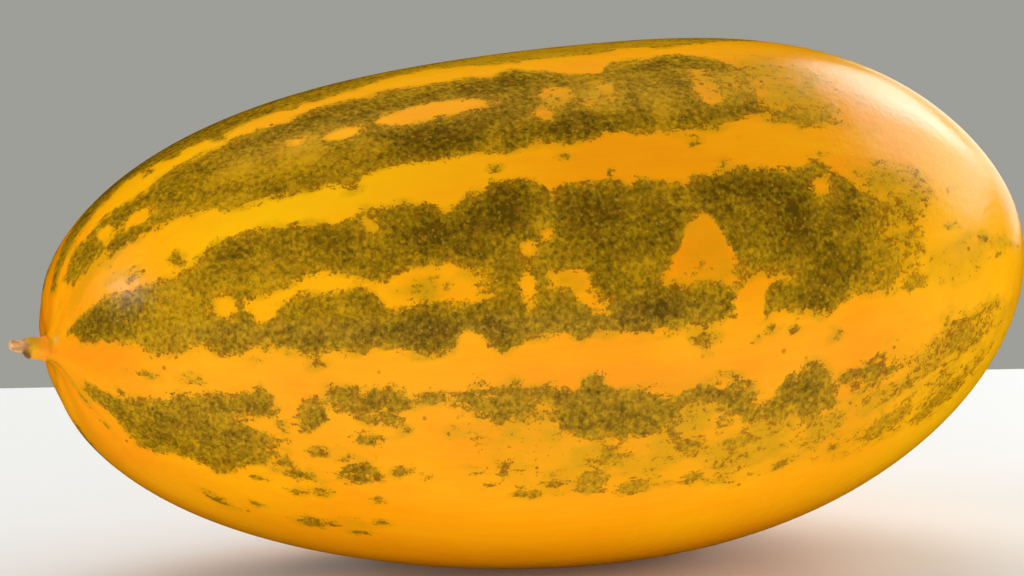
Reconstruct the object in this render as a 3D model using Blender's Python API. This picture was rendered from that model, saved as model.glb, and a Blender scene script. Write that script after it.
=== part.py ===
"""A malabar cucumber: a long oval yellow fruit with a short dried stem stub, lying on its belly.

Metres, +Z up. The stem end points to -X and the blossom end to +X. The origin is the centre of
the small flat spot that the fruit rests on, straight below its centre of mass.
"""

import math

import bmesh
import bpy
import numpy as np
from mathutils import Vector

# The body, before it is leaned
LENGTH = 0.200
RADIUS = 0.0512
# Change of the section radius along the body: powers 1 to 4 of the place along, +1 at the stem
TAPER = (-0.087, 0.100, 0.115, -0.091)
# The middle of the centreline hangs this far below its ends
SAG = 0.0061
# Low swells of the skin: place along (-1 stem, +1 blossom), degrees round, height, reach
SWELLS = (
    (0.62, 100.0, 0.0026, 0.45),
    (-0.90, 100.0, -0.0010, 0.45),
    (-0.35, 100.0, 0.0010, 0.45),
    (-0.88, -80.0, 0.0015, 0.45),
    (0.88, -82.0, 0.0018, 0.45),
    (-0.985, -50.0, -0.0008, 0.24),
)
# Shallow lengthwise ribs, deeper near the stem
RIB_COUNT = 9
RIB_TURN_DEG = 12.0
RIB_HEIGHT = 0.00012
RIB_HEIGHT_AT_STEM = 0.00035
RIB_STEM_REACH = 0.50
RIB_START = 0.16

# The stem sits a little to the -Y side of the tip and a little low. The skin's rings turn to meet it.
STEM_TURN_DEG = 11.0
STEM_TURN_FADE = 4
STEM_DROP_DEG = 2.8
STEM_DROP_FADE = 12
STEM_AIM_DEG = (17.0, 8.5)  # to the -Y side, and upwards
COLLAR_HEIGHT = 0.0022
COLLAR_REACH = 0.0068
NECK_RADIUS = 0.0024

# The corky scar at the blossom end
SCAR_RADIUS = 0.0034
SCAR_HEIGHT = 0.0004

# The stem stub: distance past the collar's rim and radius, from its root to its dry tip
GAP = 0.0003
ROOT_RADIUS = 0.0015
ROOT_DEPTH = 0.0040
NECK_LENGTH = 0.0037
NECK_END_RADIUS = 0.0022
TIP_START_RADIUS = 0.0013
TIP_END_RADIUS = 0.0011
TIP_STEP = 0.0004
TIP_ROUNDING = 0.0003
TIP_FACE_SHARE = 0.7
STUB_LENGTH = 0.0073
STUB_BEND = 0.0012
STUB_RIDGES = 5
STUB_RIDGE_SHARE = 0.07

# How the fruit lies
LEAN_DEG = 2.8
FLAT_DEPTH = 0.00030
CUTTER_SIZE = 0.08

# Steps of the meshes. Those round are a multiple of 4, so that the four sides have a vertex each.
STEPS_ROUND = 64
BODY_RINGS = 40
COLLAR_RINGS = 4
STUB_STEPS_ROUND = 20
STUB_NECK_RINGS = 5
REST_SEARCH_STEPS = 721
SHARP_DEG = 40.0

SKIN_COLOR = (0.93, 0.42, 0.01)
SKIN_ROUGHNESS = 0.35
STEM_COLOR = (0.75, 0.42, 0.10)
STEM_ROUGHNESS = 0.70


def surface(along, turn):
    """Points of the bare body. `along` runs from 0 at the stem to pi, `turn` is 0 at -Y, pi/2 on top."""
    x = -np.cos(along)
    y = -np.sin(along) * np.cos(turn)
    z = np.sin(along) * np.sin(turn)
    # Turn the unit sphere's stem pole towards -Y and down, ever less towards the blossom end
    site = math.radians(STEM_TURN_DEG) * ((1.0 - x) / 2.0) ** STEM_TURN_FADE
    x, y = x * np.cos(site) - y * np.sin(site), x * np.sin(site) + y * np.cos(site)
    drop = math.radians(STEM_DROP_DEG) * ((1.0 - x) / 2.0) ** STEM_DROP_FADE
    x, z = x * np.cos(drop) - z * np.sin(drop), x * np.sin(drop) + z * np.cos(drop)

    stemward = -x
    radius = RADIUS * (1.0 + sum(c * stemward**n for n, c in enumerate(TAPER, start=1)))
    push = ribs(along, turn)
    for place, degrees, height, reach in SWELLS:
        across = math.sqrt(1.0 - place**2)
        swell_y = -across * math.cos(math.radians(degrees))
        swell_z = across * math.sin(math.radians(degrees))
        distance = (x - place) ** 2 + (y - swell_y) ** 2 + (z - swell_z) ** 2
        push = push + height * np.exp(-distance / reach**2)
    return np.stack(
        [
            (LENGTH / 2.0 + push) * x,
            (radius + push) * y,
            (radius + push) * z - SAG * (1.0 - x**2),
        ],
        axis=-1,
    )


def ribs(along, turn):
    """Height of the shallow ribs, which fade out at both ends of the body."""
    start = np.clip(along / RIB_START, 0.0, 1.0)
    stem_height = RIB_HEIGHT_AT_STEM * start * np.exp(-((along / RIB_STEM_REACH) ** 2))
    height = RIB_HEIGHT * np.sin(along) ** 2 + stem_height
    return height * np.cos(RIB_COUNT * (turn - math.radians(RIB_TURN_DEG)))


def scar(along):
    """Height of the low corky disc at the blossom end."""
    reach = np.sin(along) * RADIUS / SCAR_RADIUS
    return SCAR_HEIGHT * np.exp(-(reach**4)) * (along > math.pi / 2.0)


def skin(along, turn):
    """Points of the body with the blossom scar."""
    points = surface(along, turn)
    points[..., 0] += scar(along)
    return points


def stem_axes():
    """The stub's foot on the bare body, its direction, and the two directions across it."""
    foot = Vector(surface(np.zeros(1), np.zeros(1))[0])
    side, up = (math.radians(a) for a in STEM_AIM_DEG)
    out = Vector((-math.cos(side) * math.cos(up), -math.sin(side) * math.cos(up), math.sin(up)))
    top = (Vector((0.0, 0.0, 1.0)) - out * out.z).normalized()
    front = top.cross(out)
    return foot, out, front, top


def circle(centre, front, top, radius, steps, ridge_share=0.0):
    """A ring of points, from the -Y side over the top. `ridge_share` gives it low ridges."""
    points = []
    for step in range(steps):
        turn = math.tau * step / steps
        r = radius * (1.0 + ridge_share * math.cos(STUB_RIDGES * turn))
        points.append(centre + front * (r * math.cos(turn)) + top * (r * math.sin(turn)))
    return points


def fruit_rings():
    """The fruit's rings, from the bottom of the stem socket to the edge of the blossom scar."""
    foot, out, front, top = stem_axes()
    rim = foot + out * COLLAR_HEIGHT
    socket_radius = ROOT_RADIUS + GAP
    rings = [
        circle(rim - out * (ROOT_DEPTH + GAP), front, top, socket_radius, STEPS_ROUND),
        circle(rim, front, top, socket_radius, STEPS_ROUND),
    ]
    turns = math.tau * np.arange(STEPS_ROUND) / STEPS_ROUND
    collar_circle = np.array(circle(rim, front, top, NECK_RADIUS, STEPS_ROUND))
    stem_radius = RADIUS * (1.0 + sum(TAPER))
    for step in range(COLLAR_RINGS):
        share = step / COLLAR_RINGS
        reach = NECK_RADIUS + (COLLAR_REACH - NECK_RADIUS) * share
        lift = (1.0 - share) ** 2
        bare = skin(np.full(STEPS_ROUND, reach / stem_radius), turns)
        rings.append(bare * (1.0 - lift) + collar_circle * lift)
    first = COLLAR_REACH / stem_radius
    last = math.pi - SCAR_RADIUS / RADIUS
    for along in np.linspace(first, last, BODY_RINGS):
        rings.append(skin(np.full(STEPS_ROUND, along), turns))
    rings.append(skin(np.full(STEPS_ROUND, (last + math.pi) / 2.0), turns))
    return rings


def stub_rings():
    """The stub's rings, from its root in the socket to its dry tip. It bends slightly upwards."""
    foot, out, front, top = stem_axes()
    rim = foot + out * COLLAR_HEIGHT
    shape = [
        (-ROOT_DEPTH, ROOT_RADIUS),
        (GAP, ROOT_RADIUS),
    ]
    for step in range(STUB_NECK_RINGS):
        share = step / (STUB_NECK_RINGS - 1)
        distance = GAP + (NECK_LENGTH - GAP) * share
        shape.append((distance, NECK_RADIUS + (NECK_END_RADIUS - NECK_RADIUS) * share))
    shape += [
        (NECK_LENGTH + TIP_STEP, TIP_START_RADIUS),
        ((NECK_LENGTH + STUB_LENGTH) / 2.0, TIP_START_RADIUS),
        (STUB_LENGTH - TIP_ROUNDING, TIP_END_RADIUS),
        (STUB_LENGTH, TIP_END_RADIUS * TIP_FACE_SHARE),
    ]
    rings = []
    for distance, radius in shape:
        bend = STUB_BEND * max(distance / STUB_LENGTH, 0.0) ** 2
        ridge_share = STUB_RIDGE_SHARE if distance > GAP else 0.0
        centre = rim + out * distance + top * bend
        rings.append(circle(centre, front, top, radius, STUB_STEPS_ROUND, ridge_share))
    return rings


def closed_mesh(name, rings, first_pole, last_pole):
    """One closed body: a fan from the first pole, bands between the rings, a fan to the last pole."""
    bm = bmesh.new()
    loops = [[bm.verts.new(point) for point in ring] for ring in rings]
    steps = len(loops[0])
    for near, far in zip(loops, loops[1:]):
        for i in range(steps):
            j = (i + 1) % steps
            bm.faces.new((near[i], near[j], far[j], far[i]))
    for pole, loop in ((first_pole, loops[0]), (last_pole, loops[-1])):
        tip = bm.verts.new(pole)
        for i in range(steps):
            bm.faces.new((tip, loop[i], loop[(i + 1) % steps]))
    bmesh.ops.recalc_face_normals(bm, faces=bm.faces)
    mesh = bpy.data.meshes.new(name)
    bm.to_mesh(mesh)
    bm.free()
    mesh.shade_smooth()
    mesh.set_sharp_from_angle(angle=math.radians(SHARP_DEG))
    return mesh


def lowest_point():
    """The lowest point of the leaned body, about its own origin."""
    along = np.linspace(0.0, math.pi, REST_SEARCH_STEPS)[:, None]
    turn = np.linspace(-math.pi, 0.0, REST_SEARCH_STEPS)[None, :]
    points = surface(along + 0.0 * turn, turn + 0.0 * along).reshape(-1, 3)
    lean = math.radians(LEAN_DEG)
    x = points[:, 0] * math.cos(lean) - points[:, 2] * math.sin(lean)
    z = points[:, 0] * math.sin(lean) + points[:, 2] * math.cos(lean)
    low = int(z.argmin())
    return Vector((x[low], points[low, 1], z[low]))


def material(name, color, roughness):
    """A plain material with one colour."""
    made = bpy.data.materials.new(name)
    made.use_nodes = True
    shader = made.node_tree.nodes["Principled BSDF"]
    shader.inputs["Base Color"].default_value = (*color, 1.0)
    shader.inputs["Roughness"].default_value = roughness
    shader.inputs["Metallic"].default_value = 0.0
    return made


def add_object(name, mesh, finish, parent):
    """Puts a mesh in the scene as one named object of the leaned fruit."""
    mesh.materials.append(finish)
    made = bpy.data.objects.new(name, mesh)
    made.parent = parent
    bpy.context.collection.objects.link(made)
    return made


def add_fruit(parent):
    """The whole fruit, with the stem socket, the collar, the blossom scar and the flat spot."""
    foot, out, _front, _top = stem_axes()
    socket_bottom = foot + out * (COLLAR_HEIGHT - ROOT_DEPTH - GAP)
    blossom_tip = skin(np.full(1, math.pi), np.zeros(1))[0]
    mesh = closed_mesh("fruit", fruit_rings(), socket_bottom, blossom_tip)
    fruit = add_object("fruit", mesh, material("skin", SKIN_COLOR, SKIN_ROUGHNESS), parent)
    cut_flat_spot(fruit)
    return fruit


def cut_flat_spot(fruit):
    """Cuts the fruit off level with the surface it lies on."""
    bm = bmesh.new()
    bmesh.ops.create_cube(bm, size=CUTTER_SIZE)
    mesh = bpy.data.meshes.new("ground_cutter")
    bm.to_mesh(mesh)
    bm.free()
    cutter = bpy.data.objects.new("ground_cutter", mesh)
    cutter.location = (0.0, 0.0, -CUTTER_SIZE / 2.0)
    cutter.hide_render = True
    cutter.display_type = "WIRE"
    bpy.context.collection.objects.link(cutter)
    cut = fruit.modifiers.new("flat_spot", "BOOLEAN")
    cut.operation = "DIFFERENCE"
    cut.object = cutter


def add_stem_stub(parent):
    """The dried stub of the stem, with its root in the fruit's socket."""
    foot, out, _front, top = stem_axes()
    root = foot + out * (COLLAR_HEIGHT - ROOT_DEPTH)
    tip = foot + out * (COLLAR_HEIGHT + STUB_LENGTH) + top * STUB_BEND
    mesh = closed_mesh("stem_stub", stub_rings(), root, tip)
    return add_object("stem_stub", mesh, material("stem", STEM_COLOR, STEM_ROUGHNESS), parent)


def main():
    for old in list(bpy.data.objects):
        bpy.data.objects.remove(old, do_unlink=True)
    low = lowest_point()
    body = bpy.data.objects.new("cucumber", None)
    body.rotation_euler.y = -math.radians(LEAN_DEG)
    body.location = (-low.x, -low.y, -low.z - FLAT_DEPTH)
    bpy.context.collection.objects.link(body)
    add_fruit(body)
    add_stem_stub(body)


main()
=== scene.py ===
"""The looks of a malabar cucumber: a yellow fruit with ragged olive stripes and a dried stem stub.

Metres, in the frame of the CAD model: +Z up, the stem end towards -X, the origin at the middle of
the flat spot that the fruit rests on. Two places are given on the skin: `place` in millimetres
along the body, -100 at the stem and +100 at the blossom end, and `turn` in degrees round it,
0 at the side that faces -Y, 90 on top, -90 below.
"""

import math

import bpy
import numpy as np
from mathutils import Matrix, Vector


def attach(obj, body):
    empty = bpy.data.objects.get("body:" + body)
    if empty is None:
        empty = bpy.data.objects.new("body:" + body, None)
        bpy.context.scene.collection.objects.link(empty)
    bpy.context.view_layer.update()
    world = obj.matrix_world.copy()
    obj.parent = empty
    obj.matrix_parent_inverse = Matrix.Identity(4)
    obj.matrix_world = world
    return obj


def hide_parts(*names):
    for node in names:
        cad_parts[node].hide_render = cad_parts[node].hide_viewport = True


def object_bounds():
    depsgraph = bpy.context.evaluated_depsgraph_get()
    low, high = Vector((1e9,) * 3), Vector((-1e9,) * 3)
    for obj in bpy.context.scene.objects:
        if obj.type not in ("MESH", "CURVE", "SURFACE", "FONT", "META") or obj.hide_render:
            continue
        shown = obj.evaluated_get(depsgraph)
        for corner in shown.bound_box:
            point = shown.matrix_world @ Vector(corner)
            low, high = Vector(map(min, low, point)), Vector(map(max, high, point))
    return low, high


# The body, as in the CAD source, but with lower ribs at the stem
LENGTH = 0.200
RADIUS = 0.0512
TAPER = (-0.087, 0.100, 0.115, -0.091)
SAG = 0.0061
SWELLS = (
    (0.62, 100.0, 0.0026, 0.45),
    (-0.90, 100.0, -0.0010, 0.45),
    (-0.35, 100.0, 0.0010, 0.45),
    (-0.88, -80.0, 0.0015, 0.45),
    (0.88, -82.0, 0.0018, 0.45),
    (-0.985, -50.0, -0.0008, 0.24),
)
RIB_COUNT = 9
RIB_TURN_DEG = 12.0
RIB_HEIGHT = 0.00012
RIB_HEIGHT_AT_STEM = 0.00014
RIB_STEM_REACH = 0.50
RIB_START = 0.30
STEM_TURN_DEG = 11.0
STEM_TURN_FADE = 4
STEM_DROP_DEG = 2.8
STEM_DROP_FADE = 12
STEM_AIM_DEG = (17.0, 8.5)
COLLAR_HEIGHT = 0.0022
COLLAR_REACH = 0.0068
NECK_RADIUS = 0.0024
SCAR_RADIUS = 0.0034
SCAR_HEIGHT = 0.0004
LEAN_DEG = 2.8
FLAT_DEPTH = 0.00030

# The stem stub: distance past the collar's rim and radius
STUB_SHAPE = (
    (-0.0020, 0.0018),
    (-0.0006, 0.0023),
    (0.0000, 0.00245),
    (0.0004, 0.00227),
    (0.0010, 0.00215),
    (0.0018, 0.00209),
    (0.0032, 0.00205),
    (0.0036, 0.00193),
    (0.0039, 0.00155),
    (0.0042, 0.00128),
    (0.0050, 0.00116),
    (0.0060, 0.00110),
    (0.0066, 0.00100),
    (0.0069, 0.00082),
    (0.0070, 0.00050),
    (0.0067, 0.00025),
)
STUB_LENGTH = 0.0073
STUB_BEND = 0.0007
STUB_RIDGES = 5
STUB_RIDGE_SHARE = 0.035
STUB_WRINKLE_SHARE = 0.022
# How much of the wrinkles the neck has, and how far past its end they are full
STUB_NECK_WRINKLES = 0.3
STUB_WRINKLE_FADE = 0.0006
# The wrinkles: waves round the stub, share of each, and how far it turns in a mm along
STUB_WAVES = ((13, 1.0, 0.5), (21, 0.7, -0.9), (3, 0.6, 1.3))
STUB_SEED = 5
NECK_LENGTH = 0.0037

# Steps of the meshes
STEPS_ROUND = 288
BODY_RINGS = 290
COLLAR_RINGS = 14
STUB_STEPS_ROUND = 80
STUB_RINGS = 70
CURVE_STEPS = 721

# The fruit's end points: depth of the one under the stub, and the last ring's angle from the other
POLE_DEPTH = 0.001
LAST_RING_GAP = 0.004
# How far from each end the skin is told its distance, in mm
BLOSSOM_REACH_MM = 20.0
STEM_REACH_MM = 40.0

# Camera: what it looks at, where it stands, its focal length and the frame's shift
AIM = (0.00025, -0.00042, 0.05225)
CAMERA_AZIMUTH_DEG = -14.0
CAMERA_ELEVATION_DEG = 10.0
CAMERA_DISTANCE = 0.600
SENSOR_MM = 36.0
LENS_MM = 105.4
SHIFT_X = -0.0409
SHIFT_Y = 0.0149

# The stripes' edges, as (place, turn)
TOP_LOWER = (
    (-98, 94), (-82, 93), (-76, 88), (-71, 86), (-67, 85), (-65, 79.5), (-63, 83), (-60, 84),
    (-52, 83.5), (-50, 81), (-48, 83), (-38, 83), (-35, 84), (-30, 86), (-20, 87), (-15, 85),
    (-12, 83), (-5, 81.5), (0, 82), (10, 82), (20, 84), (25, 83), (35, 85), (45, 88), (55, 94),
    (66, 101),
)
TOP_UPPER = (
    (-98, 108), (-90, 113), (-80, 116), (-60, 118), (-52, 115), (-44, 119), (-30, 117), (-22, 120),
    (-10, 118), (0, 121), (12, 117), (24, 119), (38, 116), (50, 114), (58, 110), (66, 104),
)
SHOULDER_LOWER = (
    (-97, 66), (-92, 63), (-90, 57), (-88, 56), (-83, 55), (-80, 54), (-78, 53), (-73, 50.5),
    (-70, 48.5), (-68, 48.5), (-60, 47.5), (-50, 46.5), (-47, 45.5), (-43, 48), (-40, 49), (-30, 48.5),
    (-27, 48), (-20, 49), (-15, 47.5), (-8, 49.5), (-2, 47.5), (5, 49.5), (10, 48.5), (20, 48.5),
    (30, 49), (40, 49), (50, 48.5), (54, 50), (58, 54),
)
SHOULDER_UPPER = (
    (-98, 86), (-95, 83), (-90, 83), (-87, 80), (-83, 76), (-81, 75), (-78, 78.5), (-74, 78),
    (-68, 76), (-66, 75), (-63, 77), (-58, 77), (-52, 75), (-49, 77), (-46, 78.5), (-41, 78),
    (-36, 76), (-32, 78), (-25, 76), (-16, 77), (-12, 75), (-7, 78), (-4, 76), (0, 73.5),
    (3, 72), (8.5, 70.5), (10, 72.5), (12, 75), (15, 76), (20, 75.5), (22, 77.5), (33, 77),
    (36, 74.5), (43, 77), (50, 74), (58, 68),
)
FRONT_LOWER = (
    (-99.3, 31), (-98.7, 22), (-98.4, 13), (-94.8, 10), (-91.7, 8), (-89.7, 2.5), (-87, 3),
    (-84, 5), (-80, 6.5),
    (-78, 3.5), (-74, 3.5), (-72, 6), (-65, 5.5), (-60, 3), (-57, 4.5), (-51, 3.5), (-48, 5),
    (-43, 4.5), (-35, 3), (-32, 4.5), (-30, 8), (-26, 6), (-24, 3.5), (-22, 2.7), (-18, 5),
    (-10, 6), (-7, 4), (-4, 6), (0, 6), (5, 4.5), (13, 5), (20, 5), (24, 6), (27, 10), (29, 4),
    (31, 6), (37, 5), (43, 3.5), (46, 5), (52, 6.5), (58, 5), (64, 4.5), (72, 5),
)
FRONT_UPPER = (
    (-99.3, 37), (-98.8, 38), (-95.9, 40), (-92.2, 37), (-90, 35), (-87, 33.5), (-84, 33), (-80, 34),
    (-77, 37), (-75, 39.5), (-72, 40.5), (-66, 39.5), (-62, 39), (-57, 37.5), (-52, 36.5),
    (-48, 37.5), (-45, 38.5), (-38, 38.5), (-33, 38), (-30, 35), (-28, 36), (-25, 38.5),
    (-21, 39), (-20, 41.5), (-16, 40.5), (-14, 41), (-10, 39), (-9, 36), (-6, 38), (0, 38),
    (5, 37.5), (7, 35.5), (9, 38), (14, 36), (18, 35.5), (20, 37.5), (23, 37), (30, 38),
    (38, 37.5), (42, 37), (44, 39.5), (46, 39), (48, 37.5), (50, 37), (54, 35),
    (58, 32), (62, 28), (66, 24), (72, 19),
)
BELLY_LOWER = (
    (-98, -42), (-95, -42), (-91, -48), (-89, -49.5), (-87, -46), (-85, -41), (-80, -40),
    (-77, -41), (-75, -38), (-72, -33), (-69, -30), (-67.5, -25),
)
BELLY_UPPER = (
    (-98, -31), (-95, -27), (-93, -24), (-90, -19), (-87, -15.5), (-85, -13.5), (-82, -12),
    (-78, -10), (-73, -8.5), (-71, -6), (-68.5, -10), (-67.5, -16),
)
BROKEN_LOWER = (
    (-34, -9), (-27, -11.5), (-22, -13), (-17, -12), (-12, -14), (-10, -17), (-5, -18.5),
    (3, -18.5), (8, -18.5), (11, -15), (13, -12), (19, -12.5), (22, -16), (26, -17.5), (29, -18),
    (33, -18.5), (37, -20), (40, -22), (44, -22), (47, -20), (50, -20.5), (54, -21.5),
)
BROKEN_UPPER = (
    (-34, -6.5), (-29, -4.5), (-26, -6), (-20, -4.5), (-16, -8), (-12, -5.5), (-8, -5.5),
    (-6, -3), (-3, -4), (-1, -6.5), (4, -7.5), (11, -9), (18, -8), (22, -8), (26, -11.5),
    (29, -15), (31, -13), (34, -8), (40, -7.5), (43, -11), (45, -15), (49, -18.5), (54, -21),
)

# Each stripe's edges, the place from where it thins out, how fast, and how full it is before that
STRIPES = (
    (TOP_LOWER, TOP_UPPER, 30.0, 0.14, 0.0),
    (SHOULDER_LOWER, SHOULDER_UPPER, 27.0, 0.36, 0.0),
    (FRONT_LOWER, FRONT_UPPER, 46.0, 0.34, 0.0),
    (BELLY_LOWER, BELLY_UPPER, 100.0, 0.0, 0.3),
    (BROKEN_LOWER, BROKEN_UPPER, 30.0, 0.08, -0.3),
)

# Clean strips inside the stripes, as edges
CLEAN_STRIPS = (
    (
        ((-72, 17.5), (-66, 17), (-62, 19), (-55, 19.5), (-50, 20), (-47, 19), (-45, 14),
         (-43, 13.5), (-40, 15), (-35, 15), (-31, 14.5), (-26, 15)),
        ((-72, 19.5), (-66, 21), (-60, 23.5), (-55, 24.5), (-50, 21.8), (-47, 20.5), (-44, 21),
         (-40, 22.5), (-35, 22.8), (-30, 23.5), (-26, 21)),
    ),
    (
        ((-37, 63), (-34, 61.5), (-28, 61.5), (-22, 62), (-17, 62.5), (-14, 64)),
        ((-37, 65), (-34, 66.5), (-28, 67.5), (-22, 67.5), (-17, 66), (-14, 65)),
    ),
    (
        ((-12, 16), (-8, 15), (-6, 12), (-4, 10.5), (-2, 9.5)),
        ((-12, 19), (-8, 19), (-6, 19), (-4, 17), (-2, 12)),
    ),
    (
        ((10, 14), (15, 13.8), (18, 14), (20, 13.5), (22, 12.5), (24, 12), (26, 14)),
        ((10, 15.5), (13, 19), (15, 22.5), (16, 25.5), (18, 28), (20, 28.8), (22, 26),
         (24, 21.5), (26, 16)),
    ),
    (
        ((24, -6), (29, -6), (29.5, 9), (31, 11), (35, 12.5)),
        ((24, 9), (26, 13), (29, 14.8), (31, 14.5), (35, 13.5)),
    ),
)

# Clean spots inside the stripes, as (place, turn, half length in mm, half width in degrees)
CLEAN_SPOTS = (
    (-85, 65, 2.2, 3.2), (-90, 72, 1.2, 7.0), (-44, 63.5, 4.0, 2.2), (8.3, 62.5, 1.3, 3.0),
    (4, 60, 1.4, 1.6), (-53.5, 65, 1.6, 1.2), (33.5, 63.5, 1.6, 2.2),
    (-1.5, 63, 3.0, 3.2), (-5.5, 58, 1.8, 2.0), (28, 62, 2.4, 6.0), (47.5, 60, 2.4, 2.0),
    (-76, 19, 2.0, 3.2), (-68.5, 16.5, 2.0, 3.0), (-45, 34.5, 1.3, 1.8),
    (-15.3, 24.2, 1.6, 1.7), (-11, 27.4, 1.0, 1.1), (-16.2, 15.5, 1.2, 3.0),
    (45.5, 33, 2.2, 2.2), (-69, -17.5, 4.0, 2.0),
)

# Stained islands outside the stripes, in the same form
ISLANDS = (
    (-88.5, 60.5, 2.8, 3.6), (-94, 76, 2.6, 10.0), (-78.5, 87, 1.0, 1.6), (-73.5, 87, 1.6, 3.0),
    (-91, 44, 0.7, 0.7), (-90, 40, 0.7, 0.7), (-82, 38.5, 1.0, 2.6), (-46, 45, 0.9, 0.6),
    (-18.5, 44, 0.8, 0.6), (-4.5, 45, 0.8, 0.6), (4, 40, 0.8, 0.8), (21.5, 45, 0.8, 0.6),
    (26, 39.5, 0.8, 0.8), (47, 41, 0.8, 0.6),
    (17, 2, 1.8, 1.0), (-72, 2, 0.7, 0.6), (-60, 1.5, 0.7, 0.6), (17.5, -0.7, 0.7, 0.6),
    (31, 2.3, 0.8, 0.7), (28, 0.7, 0.6, 0.6), (36, 1, 0.7, 0.6), (45, -2, 0.8, 0.7),
    (-32, 18, 0.7, 0.8), (18, 17.5, 0.7, 0.9),
    (63, 6.5, 3.2, 2.4), (62, 15.5, 0.9, 2.2), (75, 32, 0.8, 0.7), (73, 20, 0.8, 0.7),
    (82, 15, 1.0, 1.2), (86, 8, 0.9, 1.0),
    (-91, -7, 0.7, 0.8), (-83, -6, 0.8, 0.8), (-67, -16.5, 1.0, 1.0), (-68, -12, 0.9, 0.9),
    (-61, -12, 3.0, 4.2), (-62, -16, 1.2, 2.0), (-54, -7.5, 4.0, 3.4), (-47, -8, 5.6, 4.2),
    (-50, -12.5, 2.0, 1.8), (-45, -12.5, 2.0, 1.6), (-50, -18, 3.4, 1.6), (-65.5, -29, 1.4, 1.2),
    (-42.5, -14.5, 0.9, 0.9),
    (-37, -7, 3.2, 1.4), (-26, -8, 6.0, 3.4), (-28, -4, 1.6, 1.6), (-21, -5, 1.6, 1.6),
    (-24, -12, 2.0, 1.4), (-51, -28, 4.5, 3.0), (-43.5, -26.5, 1.5, 1.4), (-41, -26, 1.0, 0.8),
    (-62.5, -32, 3.0, 1.5), (-66.5, -28, 1.0, 1.0), (-59, -23.5, 1.8, 1.2), (-54, -24.5, 1.0, 0.8),
    (-70.5, -37.5, 1.5, 1.0),
    (-62.5, -38.5, 1.2, 0.9), (-57.5, -37, 1.2, 0.9), (-47, -36, 1.0, 0.8), (-37, -28, 1.2, 0.9),
    (-25, -28.5, 1.3, 0.9), (-14, -7, 4.5, 2.4), (-5, -4, 2.0, 1.5), (0, -12, 10.5, 5.2),
    (16, -9.5, 4.4, 1.8), (23.5, -11, 4.0, 3.2), (27.5, -16, 2.8, 2.2), (-1, -22, 3.2, 2.4),
    (-4.5, -28.5, 3.2, 3.6), (4, -31, 3.6, 2.2), (8.5, -27.5, 1.0, 1.6), (-18, -31.5, 2.4, 0.9),
    (-14.5, -24.5, 0.6, 1.0), (-12, -28.5, 1.8, 0.6), (-22, -25, 0.8, 2.4), (15, -21.5, 3.0, 1.8),
    (24.5, -22.5, 3.6, 2.2),
    (16, -30, 2.4, 1.8), (21, -28, 1.4, 1.2), (34, -32, 2.0, 1.2), (32.5, -16.5, 3.0, 3.4),
    (39, -13.5, 5.2, 6.2), (40, -20, 3.0, 3.0), (47.5, -13, 2.6, 1.2), (53, -13.5, 3.0, 2.4),
    (58, -15.2, 2.6, 1.0), (52, -21, 1.4, 1.2), (46, -32, 1.2, 1.0), (62, -21.5, 2.5, 1.4),
    (62, -26.5, 2.4, 1.2), (68, -20, 2.8, 1.6), (75, -16, 4.0, 4.2), (78, -21, 4.0, 1.4),
    (57, -31, 5.0, 3.2), (67.5, -36.5, 3.2, 1.6), (72, -35, 4.4, 4.0),
    (-58, -51, 2.5, 2.0), (-54, -49.5, 1.4, 0.9), (-48, -51.5, 2.0, 1.0), (-45, -45.5, 1.0, 0.8),
    (-75.5, -56, 2.0, 1.6), (-69, -50, 1.2, 0.9), (-98, -55, 0.5, 0.7), (-95, -55, 0.5, 0.7),
    (-94, -22, 0.5, 0.8),
    (11.3, -16, 1.6, 4.0), (21, -17.5, 1.1, 3.0), (46.5, 51.5, 7.0, 3.2), (53, 13, 8.0, 7.0),
)

# Clean spots inside the islands
ISLAND_HOLES = (
    (7, -20, 1.8, 1.2), (8.5, -27, 1.2, 1.0), (16, -16.5, 3.5, 2.8), (24, -18.6, 2.4, 1.2),
    (-15.5, -10, 1.6, 1.0),
)

# Thinly speckled skin: the last number is how full it is, 0 for half covered
SPECKLED = (
    (-50, -48, 4.0, 3.0, -1.0), (-32, -15, 4.0, 2.0, -0.9), (-22, -17, 3.0, 2.0, -0.8),
    (-56, -24, 4.0, 2.0, -1.0), (-40, -20, 22.0, 9.0, -1.7), (0, -22, 28.0, 10.0, -0.70),
    (30, -24, 20.0, 10.0, -0.60), (68, -25, 18.0, 13.0, -0.7), (74, -16, 9.0, 7.0, 0.0),
    (73, -34, 8.0, 6.0, 0.1),
    (57, -31.5, 6.0, 3.5, 0.2), (64, -22, 8.0, 6.0, -0.2), (53, -14, 4.5, 4.0, 0.1),
    (61, 30, 9.0, 9.0, -0.4), (58, 18, 8.0, 12.0, -0.1), (87, -24, 6.0, 8.0, -1.0),
    (43, -23, 4.0, 5.0, -0.5), (66, 35, 2.0, 2.0, -1.2), (87, 12, 3.5, 3.5, -0.8),
    (57, 66, 5.0, 9.0, -1.2), (60, 55, 5.0, 8.0, -1.6), (60, 26, 6.0, 10.0, -1.2),
    (74, 10, 9.0, 7.0, -0.9), (-94, 60, 5.0, 6.0, -1.0), (-75, -52, 10.0, 4.0, -1.8),
    (20, 0, 50.0, 3.0, -2.3), (80, -42, 8.0, 6.0, -1.3),
    (-37, 17.5, 4.5, 3.0, -0.5), (-8, 16.5, 3.0, 2.5, -0.7), (22.5, 16, 2.0, 2.5, -0.9),
    (32, 64, 4.0, 6.0, -0.3), (-1, 62, 7.0, 5.0, -0.4),
    (44, 64, 12.0, 14.0, -0.6), (-60, 64, 6.0, 5.0, -0.9), (-14, -14, 16.0, 6.0, -0.6),
    (15, -14, 14.0, 8.0, -0.6),
    (52, -25, 14.0, 12.0, -0.7), (20, 20, 6.0, 9.0, -1.1), (42, -24, 6.0, 5.0, -0.2),
)

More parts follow.
